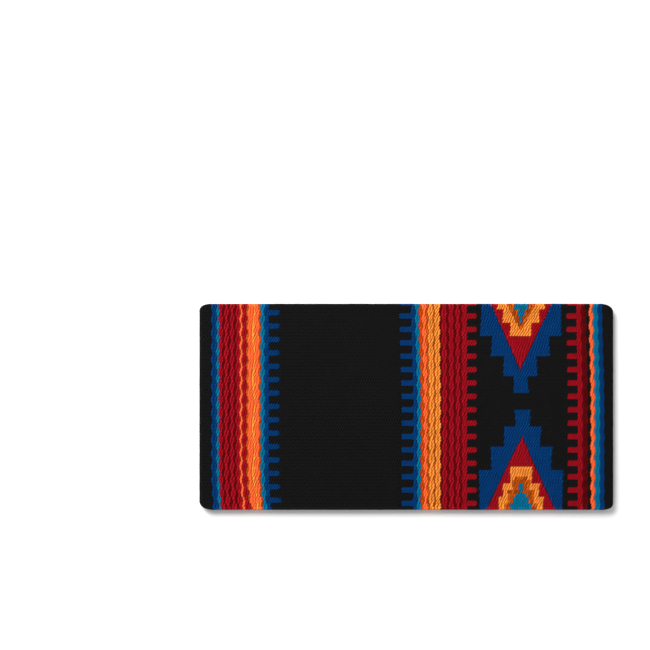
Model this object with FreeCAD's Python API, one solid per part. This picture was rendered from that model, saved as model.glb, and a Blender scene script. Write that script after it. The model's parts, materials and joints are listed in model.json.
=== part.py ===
import FreeCAD, Part
import math
import os

from FreeCAD import Vector

# Tapestry-woven wool show saddle blanket, folded in half along its spine and lying flat.
# X runs along the spine, from the front of the horse to the back. The fold is on the +Y side and
# the open edges are on the -Y side. The lower half lies on the ground (Z = 0), the upper half on it.
# Every colour is its own weft yarn, so every colour area is its own solid, packed round inner warps.

# ---- driving dimensions (mm)
SPINE_LENGTH = 863.6        # 34 inches along the spine
DROP = 430.6                # fold to open edge, about 17 inches
RIBS_PER_HALF = 61          # warp ribs in each flat half
SPINE_RIBS = 3              # warp ribs that turn round the fold
LAYER_GAP = 0.4             # air between the two halves
HINGE_GAP = 0.3             # air between two bodies at a fold line

WARP_RADIUS = 1.2
WARP_CLEARANCE = 0.1
WARP_END_TUCK = 14.0        # the warp ends are darned back this far inside the end bands

FOLD_CORNER_RADIUS = 10.0
OPEN_CORNER_RADIUS_LEFT = 22.0
OPEN_CORNER_RADIUS_RIGHT = 16.0
SPINE_END_INSET = 7.0       # the ribs of the fold are pulled in at both ends
WEDGE_TIP_CUT = 1.5         # the inner tip taken off each spine rib

# ---- the fold, as part of a regular polygon whose sides are the spine ribs
TURN = 180.0 / (SPINE_RIBS + 1)
RISE = sum(math.sin(math.radians(TURN * k)) for k in range(1, SPINE_RIBS + 1))
REACH = math.cos(math.radians(TURN))
RIB_PITCH = DROP / (RIBS_PER_HALF + REACH)
HEIGHT = RISE * RIB_PITCH
LAYER = (HEIGHT - LAYER_GAP) / 2
EDGE_Y = -DROP / 2
HINGE_Y = DROP / 2 - REACH * RIB_PITCH
FOLD_CENTRE = (HINGE_Y - RIB_PITCH / 2, HEIGHT / 2)

# ---- stripes from left to right: (node, width)
STRIPES = [
    ("left_end", 25.5),
    ("edge_blue_stripes", 10.5),
    ("edge_teal_stripes", 5.7),
    ("left_red_ropes", 7.7),
    ("maroon_lines", 2.6),
    ("left_red_ropes", 9.4),
    ("maroon_lines", 2.6),
    ("left_red_ropes", 9.4),
    ("maroon_lines", 2.6),
    ("left_red_ropes", 9.0),
    ("orange_pinstripe", 4.8),
    ("left_red_ropes", 9.0),
    ("orange_band_borders", 2.7),
    ("orange_band", 23.9),
    ("orange_band_borders", 2.6),
    ("field_teal_stripes", 8.5),
    ("field_blue_combs", 9.5),
    ("saddle_field", 295.5),
    ("field_blue_combs", 8.7),
    ("field_teal_stripes", 8.0),
    ("orange_rope", 15.0),
    ("gold_rope_borders", 3.6),
    ("gold_ropes", 11.2),
    ("gold_rope_borders", 2.2),
    ("gold_ropes", 11.4),
    ("gold_rope_borders", 3.4),
    ("right_red_ropes", 10.9),
    ("maroon_lines", 4.0),
    ("right_red_ropes", 10.4),
    ("maroon_lines", 4.0),
    ("right_red_ropes", 9.0),
    ("maroon_lines", 4.0),
    ("diamond_red_combs", 11.2),
    ("diamond_field", 228.0),
    ("diamond_red_combs", 9.8),
    ("maroon_stripe", 10.3),
    ("black_gap_stripe", 6.3),
    ("orange_bead_stripe", 8.0),
    ("edge_teal_stripes", 10.5),
    ("edge_blue_stripes", 9.0),
    ("right_end", 23.2),
]

# ---- teeth that reach from a comb into a field: (comb, field, length on the left, length on the right,
# ---- ribs from the open edge to the middle of the first tooth on the left, and on the right)
TOOTH_PERIOD_RIBS = 4
TOOTH_HEIGHT = 11.3
COMBS = [
    ("field_blue_combs", "saddle_field", 21.3, 24.3, 3.0, 2.0),
    ("diamond_red_combs", "diamond_field", 19.9, 21.1, 2.0, 2.0),
]

# ---- half diamonds: (half width, how far it reaches from the fold or the open edge)
DIAMOND_X = 671.5           # from the left end to the diamonds' middle
FOLD_DIAMOND = {
    "diamond_blue": [(84.2, 68.7), (61.0, 112.7), (35.6, 154.7), (15.6, 187.0)],
    "diamond_red": [(63.7, 0.0), (0.0, 138.0)],
    "diamond_gold": [(50.2, 13.2), (38.5, 39.8), (22.4, 69.7)],
    "diamond_brown": [(30.0, 0.0), (0.0, 56.0)],
    "diamond_teal": [(15.1, 10.5), (7.5, 26.0), (3.0, 38.0)],
}
EDGE_DIAMOND = {
    "diamond_blue": [(87.4, 85.0), (63.6, 130.5), (38.7, 174.4), (16.2, 209.0)],
    "diamond_red": [(71.9, 0.0), (0.0, 153.9)],
    "diamond_gold": [(47.0, 31.4), (38.3, 58.6), (23.3, 94.0)],
    "diamond_brown": [(34.0, 17.4), (27.0, 42.0), (18.0, 60.0), (13.0, 72.0)],
    "diamond_teal": [(22.9, 17.4), (16.4, 28.4), (10.5, 36.0), (4.5, 53.8)],
}


def prism(points, direction):
    """A straight prism over a closed outline."""
    return Part.Face(Part.makePolygon(points + points[:1])).extrude(direction)


def plan_box(x0, x1, y0, y1):
    """A block of the plan, a little taller than a layer on both sides."""
    return Part.makeBox(x1 - x0, y1 - y0, LAYER + 2, Vector(x0, y0, -1))


def rib_y(index):
    """The middle of a warp rib, counted from the open edge."""
    return EDGE_Y + (index + 0.5) * RIB_PITCH


def warp(y, z, radius, tuck):
    """A round warp along the spine's direction."""
    length = SPINE_LENGTH - 2 * tuck
    return Part.makeCylinder(radius, length, Vector(-length / 2, y, z), Vector(1, 0, 0))


def half_blank():
    """One flat half: its fold edge leans in to clear the spine ribs, its corners are round."""
    lean = RIB_PITCH / 2 * LAYER / (HEIGHT / 2)
    shift = HINGE_GAP / 2 / math.cos(math.radians(TURN / 2))
    section = [
        Vector(-SPINE_LENGTH / 2, EDGE_Y, 0),
        Vector(-SPINE_LENGTH / 2, HINGE_Y - shift, 0),
        Vector(-SPINE_LENGTH / 2, HINGE_Y - shift - lean, LAYER),
        Vector(-SPINE_LENGTH / 2, EDGE_Y, LAYER),
    ]
    slab = prism(section, Vector(SPINE_LENGTH, 0, 0))
    corners = [
        (-1, EDGE_Y, 1, OPEN_CORNER_RADIUS_LEFT),
        (1, EDGE_Y, 1, OPEN_CORNER_RADIUS_RIGHT),
        (-1, HINGE_Y, -1, FOLD_CORNER_RADIUS),
        (1, HINGE_Y, -1, FOLD_CORNER_RADIUS),
    ]
    for side, y, inward, radius in corners:
        x = side * SPINE_LENGTH / 2
        block = plan_box(min(x, x - side * radius), max(x, x - side * radius),
                         min(y, y + inward * radius), max(y, y + inward * radius))
        centre = Vector(x - side * radius, y + inward * radius, -2)
        slab = slab.cut(block.cut(Part.makeCylinder(radius, LAYER + 4, centre)))
    tunnels = [
        warp(rib_y(k), LAYER / 2, WARP_RADIUS + WARP_CLEARANCE, WARP_END_TUCK - 1)
        for k in range(RIBS_PER_HALF - 1)
    ]
    return slab.cut(Part.makeCompound(tunnels))


def stripe_places():
    """Every stripe as (node, left x, right x)."""
    places = []
    x = -SPINE_LENGTH / 2
    for name, width in STRIPES:
        places.append((name, x, x + width))
        x += width
    return places


def teeth(x0, x1, first_rib):
    """A column of teeth, one every few ribs."""
    period = TOOTH_PERIOD_RIBS * RIB_PITCH
    y = EDGE_Y + first_rib * RIB_PITCH
    blocks = []
    while y + TOOTH_HEIGHT / 2 < HINGE_Y - RIB_PITCH / 2:
        blocks.append(plan_box(x0, x1, y - TOOTH_HEIGHT / 2, y + TOOTH_HEIGHT / 2))
        y += period
    return blocks


def half_diamond(levels, start_y, direction):
    """A stepped half diamond, or a triangle where the first level has no reach."""
    middle = DIAMOND_X - SPINE_LENGTH / 2
    if levels[0][1] == 0.0:
        half, reach = levels[0][0], levels[-1][1]
        outline = [
            Vector(middle - half, start_y, -1),
            Vector(middle + half, start_y, -1),
            Vector(middle, start_y + direction * reach, -1),
        ]
        return prism(outline, Vector(0, 0, LAYER + 2))
    blocks = []
    for half, reach in levels:
        ends = sorted((start_y, start_y + direction * reach))
        blocks.append(plan_box(middle - half, middle + half, ends[0], ends[1]))
    return blocks[0].fuse(blocks[1:]).removeSplitter()


def lay_out():
    """The plan of one half: each node's blocks, with no two nodes over the same ground."""
    plan = {}
    fields = {}
    for name, x0, x1 in stripe_places():
        plan.setdefault(name, []).append(plan_box(x0, x1, EDGE_Y - 1, DROP / 2))
        fields[name] = (x0, x1)
    for comb, field, left, right, first_left, first_right in COMBS:
        x0, x1 = fields[field]
        columns = [teeth(x0, x0 + left, first_left), teeth(x1 - right, x1, first_right)]
        for base, column in zip((0, 1), columns):
            plan[comb][base] = plan[comb][base].fuse(column).removeSplitter()
        plan[field][0] = plan[field][0].cut(Part.makeCompound(columns[0] + columns[1]))
    names = list(FOLD_DIAMOND)
    for levels, start_y, direction in ((FOLD_DIAMOND, DROP / 2, -1), (EDGE_DIAMOND, EDGE_Y - 1, 1)):
        rings = [half_diamond(levels[name], start_y, direction) for name in names]
        plan["diamond_field"][0] = plan["diamond_field"][0].cut(rings[0])
        for name, outer, inner in zip(names, rings, rings[1:] + [None]):
            plan.setdefault(name, []).append(outer.cut(inner) if inner else outer)
    return plan


def half_nodes():
    """The woven pieces of the lower half, by node name."""
    blank = half_blank()
    nodes = {}
    for name, blocks in lay_out().items():
        nodes[name] = [s for block in blocks for s in blank.common(block).Solids]
    nodes["warps"] = [
        warp(rib_y(k), LAYER / 2, WARP_RADIUS, WARP_END_TUCK)
        for k in range(RIBS_PER_HALF - 1)
    ]
    return nodes


def fold_corner(index):
    """A corner of the fold's polygon as (y, z): the hinge line before spine rib number index."""
    y, z = HINGE_Y, 0.0
    for k in range(1, index + 1):
        y += RIB_PITCH * math.cos(math.radians(TURN * k))
        z += RIB_PITCH * math.sin(math.radians(TURN * k))
    return y, z


def spine_rib(index):
    """One rib of the fold: a wedge between two hinge lines and the fold's centre, and its warp."""
    a, b = fold_corner(index), fold_corner(index + 1)
    depth = RIB_PITCH / 2 / math.tan(math.radians(TURN / 2))
    side = HINGE_GAP / 2 / math.cos(math.radians(TURN / 2))
    along = ((b[0] - a[0]) / RIB_PITCH, (b[1] - a[1]) / RIB_PITCH)
    inward = (-along[1], along[0])
    tip_depth = depth - WEDGE_TIP_CUT
    tip_half = (RIB_PITCH / 2 - side) * WEDGE_TIP_CUT / depth
    local = [
        (side, 0.0),
        (RIB_PITCH - side, 0.0),
        (RIB_PITCH / 2 + tip_half, tip_depth),
        (RIB_PITCH / 2 - tip_half, tip_depth),
    ]
    half_length = SPINE_LENGTH / 2 - SPINE_END_INSET
    outline = [
        Vector(-half_length, a[0] + u * along[0] + v * inward[0], a[1] + u * along[1] + v * inward[1])
        for u, v in local
    ]
    wedge = prism(outline, Vector(2 * half_length, 0, 0))
    u, v = RIB_PITCH / 2, depth / 3
    y = a[0] + u * along[0] + v * inward[0]
    z = a[1] + u * along[1] + v * inward[1]
    tunnel = warp(y, z, WARP_RADIUS + WARP_CLEARANCE, WARP_END_TUCK - 1)
    return wedge.cut(tunnel), warp(y, z, WARP_RADIUS, WARP_END_TUCK)


def write(name, solids):
    """Writes one node's solids to its own file."""
    for solid in solids:
        if not solid.isValid():
            raise RuntimeError(name + " holds a broken solid")
    shape = solids[0] if len(solids) == 1 else Part.makeCompound(solids)
    shape.exportStep("parts/" + name + ".step")
    print(name, len(solids), round(sum(s.Volume for s in solids), 1))


def main():
    os.makedirs("parts", exist_ok=True)
    middle = Vector(0, 0, HEIGHT / 2)
    for name, solids in half_nodes().items():
        write("lower_" + name, solids)
        write("upper_" + name, [s.mirror(middle, Vector(0, 0, 1)) for s in solids])
    for index in range(SPINE_RIBS):
        rib, cord = spine_rib(index)
        write("spine_rib_" + str(index + 1), [rib])
        write("spine_warp_" + str(index + 1), [cord])
    for index in range(SPINE_RIBS + 1):
        y, z = fold_corner(index)
        print("hinge", index + 1, round(y, 4), round(z, 4))
    print("rib pitch", round(RIB_PITCH, 4), "height", round(HEIGHT, 4), "layer", round(LAYER, 4))


main()
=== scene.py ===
"""A folded tapestry-woven saddle blanket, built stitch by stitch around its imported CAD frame.

The warps run along X. Every warp is covered by weft yarns, and each place where a weft passes over a
warp shows as one stitch. A row of stitches is a rib. Lengths are in millimetres, with X counted from the
front end in the plan and s from the open edge; a grid's points are in the CAD frame, and they become
metres where a mesh is made. The stage, the light and the camera are in metres.
"""
import json
import math

import bpy
import numpy as np
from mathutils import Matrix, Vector


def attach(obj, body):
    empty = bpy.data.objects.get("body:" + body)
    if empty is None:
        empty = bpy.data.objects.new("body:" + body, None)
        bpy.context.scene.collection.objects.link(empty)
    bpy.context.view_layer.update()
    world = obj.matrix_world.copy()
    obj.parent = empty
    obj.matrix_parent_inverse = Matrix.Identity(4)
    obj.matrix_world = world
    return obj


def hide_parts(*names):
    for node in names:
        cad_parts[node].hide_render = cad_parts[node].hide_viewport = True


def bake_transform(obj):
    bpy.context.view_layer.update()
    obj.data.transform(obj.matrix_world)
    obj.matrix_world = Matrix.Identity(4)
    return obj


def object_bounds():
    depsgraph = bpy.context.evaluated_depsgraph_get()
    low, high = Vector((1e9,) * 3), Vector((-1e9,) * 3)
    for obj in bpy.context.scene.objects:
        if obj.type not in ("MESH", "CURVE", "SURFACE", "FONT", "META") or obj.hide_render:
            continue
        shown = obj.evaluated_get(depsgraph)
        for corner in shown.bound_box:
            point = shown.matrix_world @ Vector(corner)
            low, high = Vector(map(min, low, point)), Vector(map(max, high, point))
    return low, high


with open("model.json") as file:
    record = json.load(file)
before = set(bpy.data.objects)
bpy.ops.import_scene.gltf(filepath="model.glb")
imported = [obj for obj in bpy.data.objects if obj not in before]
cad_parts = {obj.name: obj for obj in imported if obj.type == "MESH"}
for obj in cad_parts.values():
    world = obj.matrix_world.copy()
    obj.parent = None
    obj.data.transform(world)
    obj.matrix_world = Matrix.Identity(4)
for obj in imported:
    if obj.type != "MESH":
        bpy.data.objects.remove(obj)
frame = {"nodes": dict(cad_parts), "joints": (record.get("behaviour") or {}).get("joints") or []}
CAD_LOW, CAD_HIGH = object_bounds()
MM = 0.001

# ---- the frame's own sizes
LENGTH = (CAD_HIGH.x - CAD_LOW.x) / MM
LEFT_X = CAD_LOW.x / MM
EDGE_Y = CAD_LOW.y / MM
FOLD_Y = CAD_HIGH.y / MM
WIDTH = FOLD_Y - EDGE_Y
HEIGHT = CAD_HIGH.z / MM
CREASES = {joint["name"]: (joint["pos_m"][1] / MM, joint["pos_m"][2] / MM) for joint in frame["joints"]}
HINGES = [CREASES["crease_1"], CREASES["crease_2"],
          (CREASES["crease_2"][0], HEIGHT - CREASES["crease_2"][1]), CREASES["crease_3"]]
HINGE_Y = HINGES[0][0]
RIBS = 61
PITCH = (HINGE_Y - EDGE_Y) / RIBS
LAYER_GAP = 0.4
LAYER = (HEIGHT - LAYER_GAP) / 2
APOTHEM = HEIGHT / 2     # from the middle of the fold to the spine's outer faces
HALF_TURN = math.radians(22.5)           # half the turn at each fold line
FOLD_TAN = math.tan(HALF_TURN)

# ---- the weave
STITCH = 5.45            # width of a stitch along its rib
SLANT = 0.62             # how far a stitch leans along X for each mm of Y
REPEAT = 4               # ribs in one repeat of the weave
CROWDING = 0.35          # how far slanted stitches may crowd at a colour's edge, as a share of their width
SHORTEST = 0.35          # the shortest stitch at a colour's edge, as a share of a whole one
RIB_DEPTH = 0.35         # from a rib's crest to the valley beside it
RIB_POWER = 2.4          # how flat a rib's crown is, and how steep its valleys
EDGE_RIB_POWER = 7.0     # the same for the rib at the open edge, which is rolled as a whole
STITCH_DEPTH = 1.25      # from a stitch's crest to the dip beside it
DIP_POWER = 2.2          # how narrow the dip is
DIP_FADE = 0.5           # how much of its depth the dip loses at the ends of a stitch
SHADE_POWER = 1.4        # how late a stitch's painted shade sets in towards the dip
VALLEY_SHADE = 0.08      # how much painted shade the valley between two ribs gets, beside the painted shade in the dip between two stitches
HEIGHT_JITTER = 0.22     # how much higher or lower than the others a stitch may stand
BLACK_RELIEF = 0.55      # the black yarn packs tighter, so its stitches are flatter
END_BULGE = 4.0          # how far the rounded front and back ends reach past the flat faces
END_SQUARE = 0.85        # how square those ends are; 1 is round
EDGE_SQUARE = 0.75       # how square the rib at the open edge is; 1 is round
SLIMMEST = 0.985         # how near to the open edge the front and back ends reach, as a share of its rib

# ---- the cloth's slack
SWELL = 0.55             # how far the cloth rises off its plane
UPPER_LIFT = 0.5         # how far the upper half lifts further
SWELL_WAVES = (61.0, 83.0, 190.0)        # a radian's length along X, along Y, and along X on the slant
SWELL_START = 0.8
LIFT_WAVE = 97.0
LIFT_START = -1.1
SLACK_START = 25.0       # how far from the fold the slack starts
SLACK_EASE = 120.0       # over what length it sets in

# ---- the spine
SPINE_DEPTH = 6.2        # from the spine's outer face to its inner one
INNER_RELIEF = 0.35      # how deep the relief of its inner face is, as a share
SPINE_END_RELIEF = 0.6   # the same on its rounded ends
SPINE_MARGIN = 0.1       # how far short of the fold its outline is read, because it gets too steep there

# ---- the wefts that bridge the fold lines
BRIDGE_SPREAD = 0.12     # half their length at rest
BRIDGE_SAG = 1.1         # how far they bow towards the fold line
BRIDGE_DIP = 0.7         # from a stitch's crest to the dip beside it
BRIDGE_DIP_POWER = 2.6
BRIDGE_SHADE = 0.5       # painted shade on these wefts, because they lie deep in the fold; 1 is the dip's painted shade
BRIDGE_MARGIN = 0.5      # how far short of the fold their outline is read
SPINE_REACH = SPINE_DEPTH / math.cos(HALF_TURN)          # how deep they lie beside a spine rib
HALF_REACH = (LAYER - 1.0) / math.cos(HALF_TURN)         # the same beside a half
OPEN_SHARE = 0.48        # how far each rib's half reaches where the fold line has no joint; 0.5 meets

# ---- plan: the corner radii, as (along X, along Y)
EDGE_CORNERS = {"left": (27.0, 18.0), "right": (21.0, 13.0)}
FOLD_CORNERS = {"left": (17.0, 14.0), "right": (21.0, 18.0)}

# ---- the stripes from the left end: (CAD node, yarn, width)
STRIPES = [
    ("left_end", "black", 25.5),
    ("edge_blue_stripes", "blue", 10.5),
    ("edge_teal_stripes", "teal", 5.7),
    ("left_red_ropes", "red", 7.7),
    ("maroon_lines", "maroon", 2.6),
    ("left_red_ropes", "red", 9.4),
    ("maroon_lines", "maroon", 2.6),
    ("left_red_ropes", "red", 9.4),
    ("maroon_lines", "maroon", 2.6),
    ("left_red_ropes", "red", 9.0),
    ("orange_pinstripe", "orange", 4.8),
    ("left_red_ropes", "red", 9.0),
    ("orange_band_borders", "brown", 2.7),
    ("orange_band", "orange", 9.5),
    ("orange_band", "gold", 5.4),
    ("orange_band", "orange", 9.0),
    ("orange_band_borders", "brown", 2.6),
    ("field_teal_stripes", "teal", 8.5),
    ("field_blue_combs", "blue", 9.5),
    ("saddle_field", "black", 295.5),
    ("field_blue_combs", "blue", 8.7),
    ("field_teal_stripes", "teal", 8.0),
    ("orange_rope", "rust", 6.4),
    ("orange_rope", "orange", 8.6),
    ("gold_rope_borders", "brown", 3.6),
    ("gold_ropes", "gold", 11.2),
    ("gold_rope_borders", "brown", 2.2),
    ("gold_ropes", "gold", 11.4),
    ("gold_rope_borders", "maroon", 3.4),
    ("right_red_ropes", "red", 10.9),
    ("maroon_lines", "maroon", 4.0),
    ("right_red_ropes", "red", 10.4),
    ("maroon_lines", "maroon", 4.0),
    ("right_red_ropes", "red", 9.0),
    ("maroon_lines", "maroon", 4.0),
    ("diamond_red_combs", "red", 11.2),
    ("diamond_field", "black", 228.0),
    ("diamond_red_combs", "red", 9.8),
    ("maroon_stripe", "maroon", 10.3),
    ("black_gap_stripe", "black", 6.3),
    ("orange_bead_stripe", "orange", 8.0),
    ("edge_teal_stripes", "teal", 10.5),
    ("edge_blue_stripes", "blue", 9.0),
    ("right_end", "black", 23.2),
]
STRIPE_NODES = [stripe[0] for stripe in STRIPES]
BEAD_INDEX = STRIPE_NODES.index("orange_bead_stripe")

# ---- how the stripes drift towards the back, as X and the drift there
LEFT_DRIFT = ([0, 20, 70, 105, 150, 200], [0, 4.2, 6.0, 9.0, 4.5, 0])
LEFT_DRIFT_REACH = 90.0  # how far from the open edge the left ones start to drift
LEFT_DRIFT_POWER = 1.7   # how late most of it comes
RIGHT_DRIFT = ([200, 437, 459, 480, 500, 557, 700, 790, 842, LENGTH],
               [0, 5.0, 4.0, 2.7, 2.0, 0.3, 0.3, 3.0, 4.5, 0])

# ---- how the colours' edges wander
WAVE = 1.7               # how far a stripe's edge swings to each side
FIELD_WAVE = 0.35        # the same beside a plain field
PHASE_SCATTER = 0.5      # how unevenly the swings start, in radians
THIN = 5.0               # stripes narrower than this zigzag, and wider ones swell and narrow
SPECKLE_JUMP = 2.3       # how far the gold specks in the orange band jump from rib to rib
SPECKLE_TURN = 2.4       # radians that the jumps turn from rib to rib
SPECKLE_LAG = 1.3        # radians that they turn further for each stripe
BEAD_WAVE = 1.5          # how far the edges of the beads swing
BEAD_FADE = 0.3          # how much less each edge past the beads swings
BEAD_TWIST = 1.2         # how far the beads' right edge lags behind their left one, in radians
EDGE_LEAN = 0.34         # how far a colour's edge leans along X within a rib, for each mm of Y
RAGGED = 0.8             # how far a diamond's edge strays from rib to rib
LEFT_STRAY = (2.7, 3.1, 1.0)     # radians for each rib, for each colour, and to start with
RIGHT_STRAY = (3.3, 1.7, 0.0)
SLIT = 0.5               # half the gap beside a diamond's slanted edge, where two yarns turn back
COLOUR_MARGIN = 1.2      # how much of a diamond's outer colour stays at least, beside the inner one
NARROWEST = 1.3          # half the width under which a diamond's colour is left out of a rib

# ---- teeth on the fields' edges: (field, its sides: (length, which ribs of a repeat carry a tooth))
COMBS = [
    ("saddle_field", {"left": (21.3, (2, 3)), "right": (24.3, (1, 2))}),
    ("diamond_field", {"left": (19.9, (1, 2)), "right": (21.1, (1, 2))}),
]
TOOTH_GAP = 1.35         # how far a tooth's long sides stand back from its ribs' edges
TOOTH_TIP = 6.0          # length of its rounded tip
TIP_NARROWING = 0.4 * PITCH              # how far each side of the tip rounds in
TOOTH_EASE = 3.0         # over what length the ribs' edges come back past a tooth's ends

# ---- half diamonds, outermost first: (CAD node, yarn, kind, outline as (half width, reach))
# Their middles, as the distance from the open edge and X there.
DIAMOND_MIDDLES = ([0, 110, 160, 190, 245, 300, 430], [670.6, 671.5, 674.3, 674.8, 671.3, 669.2, 671.7])
STEP_FLARE = 2.0         # how much wider a step gets towards its far end
FOLD_DIAMOND = [
    ("diamond_blue", "blue", "steps", [(84.2, 68.7), (61.0, 112.7), (35.6, 154.7), (15.6, 187.0)]),
    ("diamond_red", "red", "triangle", [(63.7, 0.0), (0.0, 138.0)]),
    ("diamond_gold", "gold", "steps", [(50.2, 13.2), (38.5, 39.8), (22.4, 69.7)]),
    ("diamond_brown", "brown", "triangle", [(30.0, 0.0), (0.0, 56.0)]),
    ("diamond_teal", "teal", "steps", [(15.1, 10.5), (7.5, 26.0), (3.0, 38.0)]),
]
EDGE_DIAMOND = [
    ("diamond_blue", "blue", "steps", [(87.4, 85.0), (63.6, 130.5), (38.7, 174.4), (16.2, 209.0)]),
    ("diamond_red", "red", "triangle", [(71.9, 0.0), (0.0, 153.9)]),
    ("diamond_gold", "gold", "steps", [(47.0, 31.4), (38.3, 58.6), (23.3, 94.0)]),
    ("diamond_brown", "brown", "steps", [(34.0, 17.4), (27.0, 42.0), (18.0, 60.0), (13.0, 72.0)]),
    ("diamond_teal", "teal", "steps", [(22.9, 17.4), (16.4, 28.4), (10.5, 36.0), (4.5, 53.8)]),
]

# ---- where the random draws of each part start
HALF_SEED = 1000
END_SEED = 5000
SPINE_SEED = 7000
BRIDGE_SEED = 8000

# ---- a grid's points across a stitch and along it, as shares of it
ACROSS = np.linspace(0, 1, 5)
ALONG = np.linspace(0, 1, 5)
WRAP_ALONG = np.linspace(0, 1, 11)
CAP_ALONG = np.linspace(0, 1, 9)
BRIDGE_ALONG = np.array([0, 0.3, 0.5, 0.7, 1.0])


# =====================================================================================  the plan
def smooth_step(t):
    """Eases from 0 to 1 with no kink at either end."""
    t = np.clip(t, 0, 1)
    return t * t * (3 - 2 * t)


def outline_x(side, s):
    """How far the outline stands back from the end of the spine, at a distance s from the open edge."""
    back = np.zeros_like(s)
    for corners, distance in ((EDGE_CORNERS, s), (FOLD_CORNERS, WIDTH - s)):
        along, up = corners[side]
        t = np.clip(1 - distance / up, 0, 1)
        back = np.maximum(back, along * (1 - np.sqrt(1 - t ** 2)))
    return back


def drift(x, s):
    """How far a stripe drifts. The left ones do near the open edge, the right ones except near the fold."""
    near_edge = np.clip((LEFT_DRIFT_REACH - s) / LEFT_DRIFT_REACH, 0, 1) ** LEFT_DRIFT_POWER
    from_fold = smooth_step((2 * RIBS * PITCH - 2 * s) / (RIBS * PITCH))
    return np.interp(x, *LEFT_DRIFT) * near_edge + np.interp(x, *RIGHT_DRIFT) * from_fold


def stripe_edges(s, row):
    """The X of every edge between two stripes, at the distances s from the open edge."""
    edges = [outline_x("left", s)]
    lean = EDGE_LEAN * (s - np.mean(s))
    repeat_turn = 2 * math.pi * s / (REPEAT * PITCH)
    x = phase = 0.0
    for i in range(len(STRIPES) - 1):
        node, following = STRIPE_NODES[i:i + 2]
        width = STRIPES[i][2]
        x += width
        if width > THIN:
            phase += math.pi
        swing = WAVE
        turn = repeat_turn + phase + PHASE_SCATTER * math.sin(x)
        if node.endswith("_field") or following.endswith("_field"):
            swing = FIELD_WAVE
        elif node == following == "orange_band":
            swing = SPECKLE_JUMP
            turn = SPECKLE_TURN * row + SPECKLE_LAG * i * row
        elif following == "orange_bead_stripe":
            swing = BEAD_WAVE
            turn = repeat_turn
        elif i >= BEAD_INDEX:
            swing = BEAD_WAVE - BEAD_FADE * (i - BEAD_INDEX)
            turn = repeat_turn - BEAD_TWIST
        edges.append(x + drift(x, s) + swing * np.sin(turn) + lean)
    edges.append(LENGTH - outline_x("right", s))
    return np.array(edges)


def half_width(kind, outline, distance):
    """Half the width of one colour of a half diamond, at a distance from where it starts, or 0."""
    if kind == "triangle":
        (widest, _), (_, reach) = outline
        return np.maximum(0.0, widest * (1 - distance / reach))
    middle = float(np.mean(distance))
    start = 0.0
    for width, reach in outline:
        if middle <= reach:
            share = np.clip((distance - start) / (reach - start), 0, 1)
            return width + STEP_FLARE * (share ** 2 - 0.5)
        start = reach
    return np.zeros_like(distance)


def half_diamond(s):
    """The colours of the half diamond that a rib crosses, outermost first: (node, yarn, half width)."""
    colours = []
    for diamond, distance in ((FOLD_DIAMOND, np.maximum(WIDTH - s, 0)), (EDGE_DIAMOND, s)):
        crossed = [(node, yarn, half_width(kind, outline, distance))
                   for node, yarn, kind, outline in diamond]
        if np.mean(crossed[0][2]) > 0:
            colours = crossed
    return colours


def stray(row, k, turns):
    """How far the edge of a diamond's colour k strays in a rib."""
    each_rib, each_colour, start = turns
    return RAGGED * math.sin(each_rib * row + each_colour * k + start)


def with_diamond(field, row, s):
    """A rib of the diamond field, with the colours of a half diamond set into it one inside the other."""
    middle = np.interp(s, *DIAMOND_MIDDLES)
    lean = EDGE_LEAN * (s - np.mean(s))
    spans = [field]
    for node, yarn, width in half_diamond(s):
        k = len(spans) // 2
        outer_node, outer_yarn, left, right = spans[k]
        width = np.minimum(width, (right - left) / 2 - COLOUR_MARGIN)
        if np.mean(width) < NARROWEST:
            continue
        start = middle - width + lean + stray(row, k, LEFT_STRAY)
        end = middle + width + lean + stray(row, k, RIGHT_STRAY)
        slit = SLIT if yarn == "red" and row > 0 else 0.0
        split = [(outer_node, outer_yarn, left, start - slit), (node, yarn, start + slit, end - slit),
                 (outer_node, outer_yarn, end + slit, right)]
        spans = spans[:k] + split + spans[k + 1:]
    return spans


def has_tooth(ribs, row):
    """Whether a rib carries a tooth; ribs past the spine's middle mirror the ones before it."""
    row = row if row <= RIBS + 1 else 2 * (RIBS + 1) - row
    return row >= 0 and row % REPEAT in ribs


def row_segments(row, s):
    """The rib's colours from left to right: (node, yarn, left edge, right edge) at the distances s."""
    edges = stripe_edges(s, row)
    lefts = edges[:-1].copy()
    rights = edges[1:].copy()
    for field, sides in COMBS:
        i = STRIPE_NODES.index(field)
        for side, (length, ribs) in sides.items():
            if has_tooth(ribs, row):
                border, move = (i, length) if side == "left" else (i + 1, -length)
                lefts[border] += move
                rights[border - 1] += move
    segments = []
    for i, (node, yarn, _) in enumerate(STRIPES):
        segment = (node, yarn, lefts[i], rights[i])
        segments.extend(with_diamond(segment, row, s) if node == "diamond_field" else [segment])
    return segments


def flat_segments(row, s):
    """The same, stopping where the rounded front and back ends start."""
    segments = row_segments(row, s)
    node, yarn, left, right = segments[0]
    segments[0] = (node, yarn, left + END_BULGE, right)
    node, yarn, left, right = segments[-1]
    segments[-1] = (node, yarn, left, right - END_BULGE)
    return segments


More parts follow.
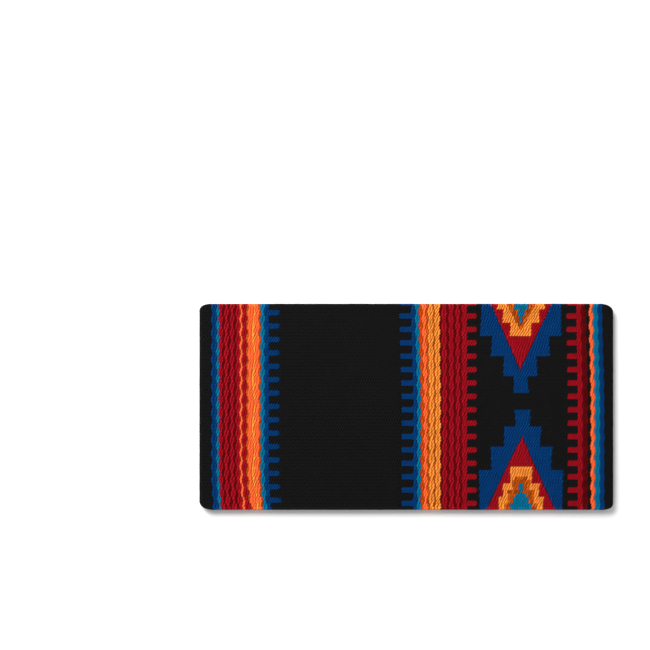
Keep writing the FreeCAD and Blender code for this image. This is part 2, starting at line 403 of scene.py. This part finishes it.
def rib_edge_shift(x, boundary):
    """How far the line between two ribs moves in Y, so that the teeth are slim and have round tips."""
    shift = np.zeros_like(x)
    for field, sides in COMBS:
        i = STRIPE_NODES.index(field)
        left_root = sum(stripe[2] for stripe in STRIPES[:i])
        right_root = left_root + STRIPES[i][2]
        for side, (length, ribs) in sides.items():
            below, above = has_tooth(ribs, boundary - 1), has_tooth(ribs, boundary)
            if below == above:
                continue
            reach = x - left_root if side == "left" else right_root - x
            to_tip = length - reach
            round_off = np.clip(1 - to_tip / TOOTH_TIP, 0, 1)
            amount = TOOTH_GAP + TIP_NARROWING * (1 - np.sqrt(1 - round_off ** 2))
            root_amount = TOOTH_GAP * np.clip(1 + reach / TOOTH_EASE, 0, 1)
            tip_amount = (TOOTH_GAP + TIP_NARROWING) * np.clip(1 + to_tip / TOOTH_EASE, 0, 1)
            amount = np.where(reach < 0, root_amount, amount)
            amount = np.where(to_tip < 0, tip_amount, amount)
            shift += amount if above else -amount
    return shift


# =====================================================================================  stitches
class Pile:
    """The stitches of one piece, gathered as grids of points, and made into one mesh."""

    def __init__(self):
        self.points = {}
        self.depth = {}
        self.tone = {}

    def add(self, points, depth, tone):
        """points is (stitches, across, along, 3); the share of painted shade and the tone are (stitches,
        across, along).
        """
        shape = points.shape[1:3]
        for store, value in ((self.points, points), (self.depth, depth), (self.tone, tone)):
            store.setdefault(shape, []).append(value)

    def faces(self, across, along):
        """Quads over the grid, wound so that across x along points outwards, and the closing base."""
        index = np.arange(across * along).reshape(across, along)
        quads = np.stack([index[:-1, :-1], index[1:, :-1], index[1:, 1:], index[:-1, 1:]], -1).reshape(-1, 4)
        rim = np.concatenate([index[0, :-1], index[:-1, -1], index[-1, :0:-1], index[:0:-1, 0]])
        return quads, rim

    def mesh(self, name):
        """One mesh of all the stitches, each with a flat base, and with the share of painted shade and the
        tone on its points.
        """
        vertices, loops, starts, smooth = [], [], [], []
        base = loop = 0
        for shape, blocks in self.points.items():
            points = np.concatenate(blocks)
            count, size = len(points), shape[0] * shape[1]
            quads, rim = self.faces(*shape)
            offsets = base + size * np.arange(count)[:, None]
            block = np.concatenate([quads.reshape(1, -1) + offsets, rim[None] + offsets], 1)
            face_starts = 4 * np.arange(len(quads) + 1)
            starts.append((loop + face_starts[None] + block.shape[1] * np.arange(count)[:, None]).ravel())
            smooth.append(np.tile(np.r_[np.ones(len(quads), bool), False], count))
            loops.append(block.ravel())
            vertices.append(points.reshape(-1, 3))
            base += size * count
            loop += block.size
        vertices = np.concatenate(vertices)
        loops = np.concatenate(loops)
        starts = np.concatenate(starts)
        data = bpy.data.meshes.new(name)
        data.vertices.add(len(vertices))
        data.vertices.foreach_set("co", (vertices * MM).astype(np.float32).ravel())
        data.loops.add(len(loops))
        data.loops.foreach_set("vertex_index", loops.astype(np.int32))
        data.polygons.add(len(starts))
        data.polygons.foreach_set("loop_start", starts.astype(np.int32))
        data.update(calc_edges=True)
        data.polygons.foreach_set("use_smooth", np.concatenate(smooth))
        # The share of painted shade, which the material turns into the dip colour, goes on the points with
        # the tone.
        for label, store in (("depth", self.depth), ("tone", self.tone)):
            values = np.concatenate([np.concatenate(store[shape]).ravel() for shape in self.points])
            attribute = data.attributes.new(label, "FLOAT", "POINT")
            attribute.data.foreach_set("value", values.astype(np.float32))
        data.validate()
        return data


def stitch_cuts(width, row):
    """Where the stitches of a segment start and end, as shares of its width.

    One or two stitches are even. More than two step along from rib to rib, like twill.
    """
    count = max(1, int(round(width / STITCH)))
    if count <= 2:
        return np.linspace(0, 1, count + 1)
    shift = (row % REPEAT) / REPEAT
    cuts = (np.arange(1, count + 1) - shift) / count
    cuts = cuts[(cuts > SHORTEST / count) & (cuts < 1 - SHORTEST / count)]
    return np.concatenate([[0], cuts, [1]])


def segment_grids(segment, row, along, rng):
    """For every stitch of a segment: X at the grid's points, how much higher it stands, and its tone."""
    left, right = segment[2:]
    width = float(np.mean(right - left))
    cuts = stitch_cuts(width, row)[:, None]
    slant = SLANT * PITCH * (along - 0.5)
    edges = np.mean(left) + cuts * width + slant
    span = right - left
    edges = np.clip(edges, left + CROWDING * cuts * span, right - CROWDING * (1 - cuts) * span)
    edges[0], edges[-1] = left, right
    x = edges[:-1, None, :] + (edges[1:] - edges[:-1])[:, None, :] * ACROSS[None, :, None]
    stitches = len(cuts) - 1
    rise = rng.uniform(-1, 1, stitches)[:, None, None] * HEIGHT_JITTER
    tone = rng.uniform(-1, 1, stitches)[:, None, None] + 0 * x
    return x, rise, tone


def relief(across, along, rib_power=RIB_POWER, rise=0.0, share_of_depth=1.0):
    """How far a stitch's surface lies under its crest, and how much of the dip's colour, which is painted
    shade, it has.
    """
    a, b = np.abs(2 * across - 1), np.abs(2 * along - 1)
    dip = share_of_depth * STITCH_DEPTH * a ** DIP_POWER * (1 - DIP_FADE * b ** 4)
    valley = RIB_DEPTH * b ** rib_power
    crown = rise * (1 - a ** 2) * (1 - b ** 2)
    # Painted shade: darker towards the dips between stitches, and a little in the valleys between ribs.
    shade = np.clip(a ** SHADE_POWER + VALLEY_SHADE * b ** rib_power, 0, 1)
    return dip + valley - crown, shade


def lift(x, y):
    """The slack of the cloth: how far it rises off its plane, and how far the upper half lifts further.

    Both swell and sink in long waves of unequal lengths, so that no two spots look alike.
    """
    along_x, along_y, slanting = SWELL_WAVES
    loose = smooth_step((HINGE_Y - SLACK_START - y) / SLACK_EASE)
    swell = 0.5 + 0.5 * np.sin(x / along_x + SWELL_START) * np.cos(y / along_y + x / slanting)
    return SWELL * loose * swell, UPPER_LIFT * loose * (0.5 + 0.5 * np.sin(x / LIFT_WAVE + LIFT_START))


def half_grid(face, row, x, along, drop):
    """Points of one rib on a half's face, drawn for the upper half."""
    s0 = row * PITCH + rib_edge_shift(x, row)
    s1 = (row + 1) * PITCH + rib_edge_shift(x, row + 1)
    if face == "inner" and row == RIBS - 1:
        s1 = s1 - LAYER * FOLD_TAN
    y = EDGE_Y + s0 + (s1 - s0) * along
    z = HEIGHT - drop if face == "outer" else HEIGHT - LAYER + drop
    return np.stack([x + LEFT_X, y, z], -1)


def wrap_grid(x, along, drop):
    """Points of the rib at the open edge, whose stitches go round the edge from face to face."""
    angle = math.pi * along
    centre_y = EDGE_Y + PITCH
    reach, radius = PITCH - drop, LAYER / 2 - drop
    y = centre_y - reach * np.abs(np.sin(angle)) ** EDGE_SQUARE
    z = HEIGHT - LAYER / 2 + radius * np.sign(np.cos(angle)) * np.abs(np.cos(angle)) ** EDGE_SQUARE
    return np.stack([x + LEFT_X, y + 0 * x, z + 0 * x], -1)


def spine_frame(rib):
    """The outer face of a spine rib: its middle, its direction, and its outward normal, in Y and Z."""
    start, end = np.array(HINGES[rib]), np.array(HINGES[rib + 1])
    tangent = (end - start) / np.linalg.norm(end - start)
    return (start + end) / 2, tangent, np.array([tangent[1], -tangent[0]])


def spine_points(rib, x, t, out):
    """Points beside a spine rib's middle, at t along its tangent and out along its normal."""
    middle, tangent, normal = spine_frame(rib)
    y = middle[0] + t * tangent[0] + out * normal[0]
    z = middle[1] + t * tangent[1] + out * normal[1]
    return np.stack([x + LEFT_X, y, z], -1)


def spine_grid(rib, face, x, along, drop):
    """Points of a spine rib's face. along runs with the rib's tangent, from the lower half upwards."""
    out = -drop if face == "outer" else -SPINE_DEPTH + INNER_RELIEF * drop
    narrow = 1 - np.abs(out) / APOTHEM
    t = (along - 0.5) * PITCH * (1.0 if face == "outer" else narrow)
    return spine_points(rib, x, t, out)


def placed(half, points):
    """Puts grids drawn for a flat upper half where they belong, with the cloth's slack."""
    points = points.copy() if half == "upper" else points[:, ::-1].copy()
    if half == "lower":
        points[..., 2] = HEIGHT - points[..., 2]
    rise, extra = lift(points[..., 0], points[..., 1])
    points[..., 2] += rise + (extra if half == "upper" else 0)
    return points


def facing_out(face, points):
    """Grids on faces that look down are turned over, so that their outside is out."""
    return points if face == "outer" else points[:, ::-1]


# =====================================================================================  the woven pieces
# The yarn of each colour area. A second yarn in it makes a piece with the yarn's name added.
MAIN_YARN = {"orange_rope": "orange"}
for colour_area in STRIPES + FOLD_DIAMOND:
    MAIN_YARN.setdefault(colour_area[0], colour_area[1])
piles = {}               # every pile by its piece's name
owners = {}              # each one's body, yarn and CAD node


def pile(name, body, yarn, node):
    """The pile of that name, started with its body, its yarn and the CAD node whose place it takes."""
    if name not in piles:
        piles[name] = Pile()
        owners[name] = (body, yarn, node)
    return piles[name]


def half_pile(half, node, yarn, face):
    """The pile of a colour area's stitches. The two fields have a piece for each face."""
    name = f"{half}_{node}_weave"
    if yarn != MAIN_YARN[node]:
        name += f"_{yarn}"
    if node in ("saddle_field", "diamond_field"):
        name += "_inner" if face == "inner" else "_outer"
    return pile(name, f"{half}_half", yarn, f"{half}_{node}")


def weave_segment(half, face, row, along, segment, rng):
    """One colour's stitches in one rib, on one face of one half, or round its open edge."""
    node, yarn = segment[:2]
    x, rise, tone = segment_grids(segment, row, along, rng)
    run = along[None, None, :]
    power = EDGE_RIB_POWER if face == "edge" else RIB_POWER
    share = BLACK_RELIEF if yarn == "black" else 1.0
    drop, depth = relief(ACROSS[None, :, None], run, power, share * rise, share)
    if face == "edge":
        points = wrap_grid(x, run, drop)[:, ::-1]
    else:
        points = facing_out(face, half_grid(face, row, x, run, drop))
    half_pile(half, node, yarn, face).add(placed(half, points), depth + 0 * x, tone)


def weave_halves():
    """Both faces of both halves, and the rib that goes round the open edge."""
    for row in range(RIBS):
        rng = np.random.default_rng(HALF_SEED + row)
        if row == 0:
            faces, along = ["edge"], WRAP_ALONG
            s = PITCH * (1 - np.abs(np.sin(math.pi * along)) ** EDGE_SQUARE)
        else:
            faces, along = ["outer", "inner"], ALONG
            s = (row + along) * PITCH
        for segment in flat_segments(row, s):
            for face in faces:
                for half in ("upper", "lower"):
                    weave_segment(half, face, row, along, segment, rng)


def weave_bulge(row, side, node, rng):
    """One rib's bulge on a rounded end: a stitch that goes round from face to face, on both halves."""
    run = ALONG[None, :]
    turn = CAP_ALONG[:, None]
    angle = math.pi * turn
    s = (row + run) * PITCH
    drop, depth = relief(turn, run, rise=rng.uniform(-1, 1) * HEIGHT_JITTER)
    tall = LAYER / 2 - drop
    if row == 0:
        near = np.clip(1 - s / PITCH, 0, SLIMMEST)
        slim = (1 - near ** (2 / EDGE_SQUARE)) ** (EDGE_SQUARE / 2)
        drop, depth = relief(turn, 0.5 + 0.5 * run, EDGE_RIB_POWER)
        tall = (LAYER / 2 - drop) * slim
    bulge = END_BULGE * tall / (LAYER / 2) * np.abs(np.sin(angle)) ** END_SQUARE
    inset = outline_x(side, s) + END_BULGE - bulge
    x = inset if side == "left" else LENGTH - inset
    y = EDGE_Y + s + 0 * x
    if row == RIBS - 1:
        shrink = LAYER * FOLD_TAN * (1 - np.cos(angle)) / 2
        y = EDGE_Y + row * PITCH + run * (PITCH - shrink)
    z = HEIGHT - LAYER / 2 + tall * np.cos(angle)
    points = np.stack([x + LEFT_X, y, z], -1)[None]
    points = points[:, ::-1] if side == "left" else points
    tone = np.full(points.shape[:3], rng.uniform(-1, 1))
    depth = (depth + 0 * x)[None]
    for half in ("upper", "lower"):
        half_pile(half, node, "black", "end").add(placed(half, points), depth, tone)


def weave_ends():
    """The rounded front and back ends of both halves."""
    for row in range(RIBS):
        rng = np.random.default_rng(END_SEED + row)
        for side, node in (("left", "left_end"), ("right", "right_end")):
            weave_bulge(row, side, node, rng)


def weave_spine_end(rib, side, s, stitches):
    """The rounded end of a spine rib."""
    turn, run = CAP_ALONG[:, None], ALONG[None, :]
    drop, depth = relief(turn, run)
    drop = SPINE_END_RELIEF * drop
    angle = math.pi * turn
    out = -SPINE_DEPTH / 2 * (1 - np.cos(angle)) - drop * np.cos(angle)
    t = (run - 0.5) * PITCH * (1 - np.abs(out) / APOTHEM)
    back = outline_x(side, s)[None, :] + END_BULGE - (END_BULGE - drop) * np.sin(angle)
    x = back if side == "left" else LENGTH - back
    points = spine_points(rib, x, t, out)[None]
    points = points[:, ::-1] if side == "left" else points
    shape = points.shape[:3]
    stitches.add(points, np.broadcast_to(depth, shape[1:])[None], np.zeros(shape))


def weave_spine():
    """Three ribs round the fold. Each rides on its own body."""
    for rib in range(3):
        name, node = f"spine_{rib + 1}", f"spine_rib_{rib + 1}"
        row = (RIBS, RIBS + 1, RIBS)[rib]
        s = HINGE_Y - EDGE_Y + (ALONG, 1 + 0 * ALONG, 1 - ALONG)[rib] * (FOLD_Y - HINGE_Y - SPINE_MARGIN)
        rng = np.random.default_rng(SPINE_SEED + rib)
        for segment in flat_segments(row, s):
            yarn = segment[1]
            for face in ("outer", "inner"):
                x, rise, tone = segment_grids(segment, row, ALONG, rng)
                run = ALONG[None, None, :]
                drop, depth = relief(ACROSS[None, :, None], run, rise=rise)
                points = facing_out(face, spine_grid(rib, face, x, run, drop))
                pile(f"{name}_{yarn}", name, yarn, node).add(points, depth + 0 * x, tone)
        for side in ("left", "right"):
            weave_spine_end(rib, side, s, pile(f"{name}_black", name, "black", node))


# =====================================================================================  materials
YARNS = {                # linear base colour on top of a stitch, and in the dip beside it; the dip colour is painted shade, and for black it is painted light that evens out the real shade in its dips
    # Black's dip colour is lighter than its top: painted light that cancels the shade in its dips.
    "black": ((0.0052, 0.0052, 0.0052), (0.0080, 0.0080, 0.0080)),
    "blue": ((0.0010, 0.041, 0.160), (0.0006, 0.016, 0.075)),
    "teal": ((0.001, 0.170, 0.305), (0.001, 0.045, 0.120)),
    "red": ((0.380, 0.0048, 0.0125), (0.075, 0.0014, 0.0036)),
    "maroon": ((0.120, 0.0022, 0.0036), (0.045, 0.0010, 0.0018)),
    "orange": ((1.000, 0.145, 0.040), (0.560, 0.055, 0.006)),
    "gold": ((0.960, 0.310, 0.045), (0.300, 0.038, 0.002)),
    "brown": ((0.520, 0.090, 0.005), (0.150, 0.014, 0.001)),
    "rust": ((0.520, 0.060, 0.003), (0.260, 0.024, 0.001)),
    "warp": ((0.420, 0.390, 0.330), (0.250, 0.230, 0.190)),
}
SLOTS = {yarn: f"{yarn}_wool" for yarn in YARNS}
SLOTS["rust"] = "brown_wool"
SLOTS["warp"] = "warp_cord"
# How much one stitch's tone differs from the next.
SPREAD = {"black": 0.03, "brown": 0.4, "gold": 0.14, "maroon": 0.25}
COMMON_SPREAD = 0.09
WOOL_ROUGHNESS = 0.9
WOOL_SPECULAR = 0.03
FIBRE_SCALE = (1500, 320, 700)           # fine across the stitch and long along it
FLECK = 0.5              # how far the fibres change the yarn's brightness
CLOUD_SCALE = 46.0
CLOUD = 0.2              # how far broad clouds change it
FIBRE_BUMP = (0.5, 0.0006)               # strength, distance in metres
TWIST_TURN = 0.7
TWIST_SCALE = 210.0
TWIST_BUMP = (0.8, 0.0008)


def math_node(tree, operation, first, second):
    """The outcome of an operation on two values, each a number or another node's output."""
    made = tree.nodes.new("ShaderNodeMath")
    made.operation = operation
    for socket, value in zip(made.inputs, (first, second)):
        if isinstance(value, float):
            socket.default_value = value
        else:
            tree.links.new(value, socket)
    return made.outputs[0]


def noise_node(tree, vector, scale, detail):
    made = tree.nodes.new("ShaderNodeTexNoise")
    made.inputs["Scale"].default_value = scale
    made.inputs["Detail"].default_value = detail
    tree.links.new(vector, made.inputs["Vector"])
    return made.outputs["Fac"]


def turned_space(tree, turn, scale=(1, 1, 1)):
    """The object's own coordinates, turned about Z and scaled."""
    made = tree.nodes.new("ShaderNodeMapping")
    made.inputs["Rotation"].default_value = (0, 0, turn)
    made.inputs["Scale"].default_value = scale
    tree.links.new(tree.nodes["Texture Coordinate"].outputs["Object"], made.inputs["Vector"])
    return made.outputs[0]


def point_value(tree, name):
    """A value that the mesh carries on its points."""
    made = tree.nodes.new("ShaderNodeAttribute")
    made.attribute_name = name
    return made.outputs["Fac"]


def bump_node(tree, height, strength, distance):
    made = tree.nodes.new("ShaderNodeBump")
    made.inputs["Strength"].default_value = strength
    made.inputs["Distance"].default_value = distance
    tree.links.new(height, made.inputs["Height"])
    return made


def wool(name, colours, spread):
    """Matte wool yarn: fibres along the weft, lighter tops and darker dips as painted shade (black's dips
    are painted lighter instead), a tone for every stitch.
    """
    material = bpy.data.materials.new(name)
    material.use_nodes = True
    tree = material.node_tree
    tree.nodes.clear()
    output = tree.nodes.new("ShaderNodeOutputMaterial")
    shader = tree.nodes.new("ShaderNodeBsdfPrincipled")
    shader.inputs["Roughness"].default_value = WOOL_ROUGHNESS
    shader.inputs["Specular IOR Level"].default_value = WOOL_SPECULAR
    tree.links.new(shader.outputs[0], output.inputs[0])

    place = tree.nodes.new("ShaderNodeTexCoord")
    fibre = noise_node(tree, turned_space(tree, math.atan(SLANT), FIBRE_SCALE), 1.0, 3.0)
    mottle = noise_node(tree, place.outputs["Object"], CLOUD_SCALE, 2.0)

    per_stitch = math_node(tree, "ADD", math_node(tree, "MULTIPLY", point_value(tree, "tone"), spread), 1.0)
    fleck = math_node(tree, "MULTIPLY", math_node(tree, "SUBTRACT", fibre, 0.5), FLECK)
    cloud = math_node(tree, "MULTIPLY", math_node(tree, "SUBTRACT", mottle, 0.5), CLOUD)
    brightness = math_node(tree, "ADD", per_stitch, math_node(tree, "ADD", fleck, cloud))
    # The ramp paints shade: the top colour on a stitch's crest, and the dip colour, which is painted shade,
    # where the points' share of painted shade is 1.
    shade = tree.nodes.new("ShaderNodeValToRGB")
    for point, colour in zip(shade.color_ramp.elements, colours):
        point.color = (*colour, 1.0)
    tree.links.new(point_value(tree, "depth"), shade.inputs["Fac"])
    tint = tree.nodes.new("ShaderNodeHueSaturation")
    tree.links.new(shade.outputs["Color"], tint.inputs["Color"])
    tree.links.new(brightness, tint.inputs["Value"])
    tree.links.new(tint.outputs[0], shader.inputs["Base Color"])

    bump = bump_node(tree, fibre, *FIBRE_BUMP)
    tree.links.new(bump.outputs[0], shader.inputs["Normal"])
    return material


def cord_wool(name, colours):
    """Twisted undyed wool, for the warps inside the weave."""
    material = wool(name, colours, COMMON_SPREAD)
    tree = material.node_tree
    fibre_bump = tree.nodes["Bump"]
    twist = tree.nodes.new("ShaderNodeTexWave")
    twist.inputs["Scale"].default_value = TWIST_SCALE
    twist.inputs["Distortion"].default_value = 1.5
    tree.links.new(turned_space(tree, TWIST_TURN), twist.inputs["Vector"])
    bump = bump_node(tree, twist.outputs["Fac"], *TWIST_BUMP)
    tree.links.new(fibre_bump.outputs[0], bump.inputs["Normal"])
    tree.links.new(bump.outputs[0], tree.nodes["Principled BSDF"].inputs["Normal"])
    return material


# =====================================================================================  inside the cloth
def weft_core(half, material):
    """The thin middle of a half, where the wefts cross. It closes the gaps between stitches. It is black
    under every colour: under the other colours that black is painted shade where it shows between stitches
    and through the slits.
    """
    columns, rows = 60, RIBS * 2
    inset, edge_inset, thick, rib_swell = 9.0, 5.0, 2.6, 0.25
    xs = np.linspace(0, LENGTH, columns + 1)
    ys = np.linspace(EDGE_Y + edge_inset, HINGE_Y - LAYER * FOLD_TAN, rows + 1)
    points = []
    for side in (1, -1):
        for y in ys:
            s = np.array([y - EDGE_Y])
            left = LEFT_X + outline_x("left", s)[0] + inset
            right = LEFT_X + LENGTH - outline_x("right", s)[0] - inset
            x = left + (right - left) * xs / LENGTH
            rise, extra = lift(x, y + 0 * x)
            swell = thick / 2 * (1 + rib_swell * math.cos(2 * math.pi * (y - EDGE_Y) / PITCH))
            middle = HEIGHT - LAYER / 2 + extra if half == "upper" else LAYER / 2
            points.append(np.stack([x, y + 0 * x, middle + side * swell + rise], -1))
    grid = np.array(points).reshape(2, rows + 1, columns + 1, 3)
    index = np.arange(grid[0].size // 3).reshape(rows + 1, columns + 1)
    top = np.stack([index[:-1, :-1], index[:-1, 1:], index[1:, 1:], index[1:, :-1]], -1).reshape(-1, 4)
    bottom = top[:, ::-1] + index.size
    rim = np.concatenate([index[0, :], index[1:, -1], index[-1, -2::-1], index[-2:0:-1, 0]])
    following = np.roll(rim, -1)
    wall = np.stack([rim, rim + index.size, following + index.size, following], -1)
    data = bpy.data.meshes.new(f"{half}_weft_core")
    data.from_pydata((grid.reshape(-1, 3) * MM).tolist(), [], np.concatenate([top, bottom, wall]).tolist())
    data.shade_smooth()
    core = bpy.data.objects.new(f"{half}_weft_core", data)
    bpy.context.scene.collection.objects.link(core)
    data.materials.append(material)
    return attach(core, f"{half}_half")


def bridge_axes(k):
    """At fold line k: the way from rib to rib, and the way into the fold, in Y and Z."""
    before = spine_frame(k - 1)[1] if k > 0 else np.array([1.0, 0.0])
    after = spine_frame(k)[1] if k < 3 else np.array([-1.0, 0.0])
    along = (before + after) / np.linalg.norm(before + after)
    return along, np.array([-along[1], along[0]])


def bridge_paths(k):
    """How the wefts at fold line k run, as (body, sideways, inwards). With no body, they go from rib to rib.

    The line between the second and third ribs has no joint of its own, so there each rib carries the half
    of the wefts that is on its side.
    """
    if k == 2:
        share = np.linspace(0, OPEN_SHARE, len(BRIDGE_ALONG))
        angles = 2 * HALF_TURN * share
        radii = SPINE_REACH - BRIDGE_SAG * np.sin(math.pi * share)
        return [("spine_2", np.sin(angles) * radii, np.cos(angles) * radii),
                ("spine_3", -np.sin(angles) * radii, np.cos(angles) * radii)]
    start = SPINE_REACH if k > 0 else HALF_REACH
    end = SPINE_REACH if k < 3 else HALF_REACH
    radii = start + (end - start) * BRIDGE_ALONG - BRIDGE_SAG * np.sin(math.pi * BRIDGE_ALONG)
    return [(None, (2 * BRIDGE_ALONG - 1) * BRIDGE_SPREAD, radii)]


def weave_bridge(k, body, sideways, inwards):
    """The wefts of one path at fold line k. Shut at rest, they spread as the fold opens."""
    hinge = HINGES[k]
    along, inward = bridge_axes(k)
    row = RIBS if k in (0, 3) else RIBS + 1
    s = np.full(len(BRIDGE_ALONG), min(row * PITCH, WIDTH - BRIDGE_MARGIN))
    rng = np.random.default_rng(BRIDGE_SEED + k)
    made = {}
    for segment in flat_segments(row, s):
        x, _, tone = segment_grids(segment, row, ALONG, rng)
        dip = (np.abs(2 * ACROSS - 1) ** BRIDGE_DIP_POWER)[None, :, None]
        scale = 1 - BRIDGE_DIP / SPINE_DEPTH * dip
        y = hinge[0] + (sideways * along[0] + inwards * inward[0]) * scale
        z = hinge[1] + (sideways * along[1] + inwards * inward[1]) * scale
        points = np.stack([x + LEFT_X, y + 0 * x, z + 0 * x], -1)
        if body != "spine_3":
            points = points[:, ::-1]
        # Painted shade: these wefts lie deep in the fold, so they are painted towards the dip colour.
        depth = np.clip(dip + BRIDGE_SHADE + 0 * x, 0, 1)
        made.setdefault(segment[1], Pile()).add(points, depth, tone)
    for yarn, stitches in made.items():
        name = f"fold_{k + 1}_wefts_{yarn}" + (f"_{body}" if body else "")
        piece = new_piece(name, stitches, materials[yarn])
        if body:
            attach(piece, body)
            continue
        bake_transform(piece)


def weave_bridges():
    """Wefts that cross the four fold lines, inside the fold."""
    for k in range(len(HINGES)):
        for body, sideways, inwards in bridge_paths(k):
            weave_bridge(k, body, sideways, inwards)


def new_piece(name, stitches, material):
    """The piece made of a pile's stitches."""
    data = stitches.mesh(name)
    data.materials.append(material)
    piece = bpy.data.objects.new(name, data)
    bpy.context.scene.collection.objects.link(piece)
    return piece


# =====================================================================================  the stage
PAPER = (0.9, 0.9, 0.9, 1)
FLOOR_SIZE = 30.0
FLOOR_Z = -0.0006        # just under the lower half's stitches
KEY_PLACE = (-1.8, 2.7, 2.8)
KEY_SIZE = 3.2
KEY_POWER = 300
SKY_STRENGTH = 0.56
CAMERA_PLACE = (-0.1696, 0.1707, 3.781)  # so that the blanket lies a little below and right of the middle


def make_stage():
    """A sheet of white paper under the blanket."""
    bpy.ops.mesh.primitive_plane_add(size=FLOOR_SIZE, location=(0, 0, FLOOR_Z))
    floor = bpy.context.object
    floor.name = "floor"
    paper = bpy.data.materials.new("paper_white")
    paper.use_nodes = True
    shader = paper.node_tree.nodes["Principled BSDF"]
    shader.inputs["Base Color"].default_value = PAPER
    shader.inputs["Roughness"].default_value = 0.9
    shader.inputs["Specular IOR Level"].default_value = 0.1
    floor.data.materials.append(paper)


def make_lights():
    """One large soft lamp beyond the fold, towards the front end, and an even white sky."""
    lamp = bpy.data.lights.new("key", "AREA")
    lamp.shape = "DISK"
    lamp.size = KEY_SIZE
    lamp.energy = KEY_POWER
    key = bpy.data.objects.new("key", lamp)
    key.location = KEY_PLACE
    key.rotation_mode = "QUATERNION"
    key.rotation_quaternion = (-Vector(KEY_PLACE)).to_track_quat("-Z", "Y")
    bpy.context.scene.collection.objects.link(key)
    world = bpy.data.worlds.new("studio")
    world.use_nodes = True
    background = world.node_tree.nodes["Background"]
    background.inputs["Color"].default_value = (1, 1, 1, 1)
    background.inputs["Strength"].default_value = SKY_STRENGTH
    bpy.context.scene.world = world


def make_camera():
    """Straight down."""
    lens = bpy.data.cameras.new("camera")
    lens.lens = 100
    lens.sensor_width = 36
    lens.clip_end = 50
    camera = bpy.data.objects.new("camera", lens)
    camera.location = CAMERA_PLACE
    bpy.context.scene.collection.objects.link(camera)
    bpy.context.scene.camera = camera


# =====================================================================================  build
make_camera()
make_lights()
make_stage()
bpy.context.scene.view_settings.view_transform = "Standard"

materials = {}
for yarn, colours in YARNS.items():
    if yarn != "warp":
        materials[yarn] = wool(f"{yarn}_wool", colours, SPREAD.get(yarn, COMMON_SPREAD))
materials["warp"] = cord_wool("warp_cord", YARNS["warp"])

weave_halves()
weave_ends()
weave_spine()
with_half = {"upper_half": [], "lower_half": []}
for name, stitches in piles.items():
    body, yarn, node = owners[name]
    piece = new_piece(name, stitches, materials[yarn])
    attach(piece, body)
    if node in frame["nodes"]:
        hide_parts(node)
    if body in with_half:
        with_half[body].append(piece)
weave_bridges()

for node, cad in frame["nodes"].items():
    if "warp" in node:
        cad.data.materials.clear()
        cad.data.materials.append(materials["warp"])
for half in ("lower", "upper"):
    # The core is black under every colour; beside the other colours it is painted shade in the gaps and
    # slits between stitches.
    core = weft_core(half, materials["black"])
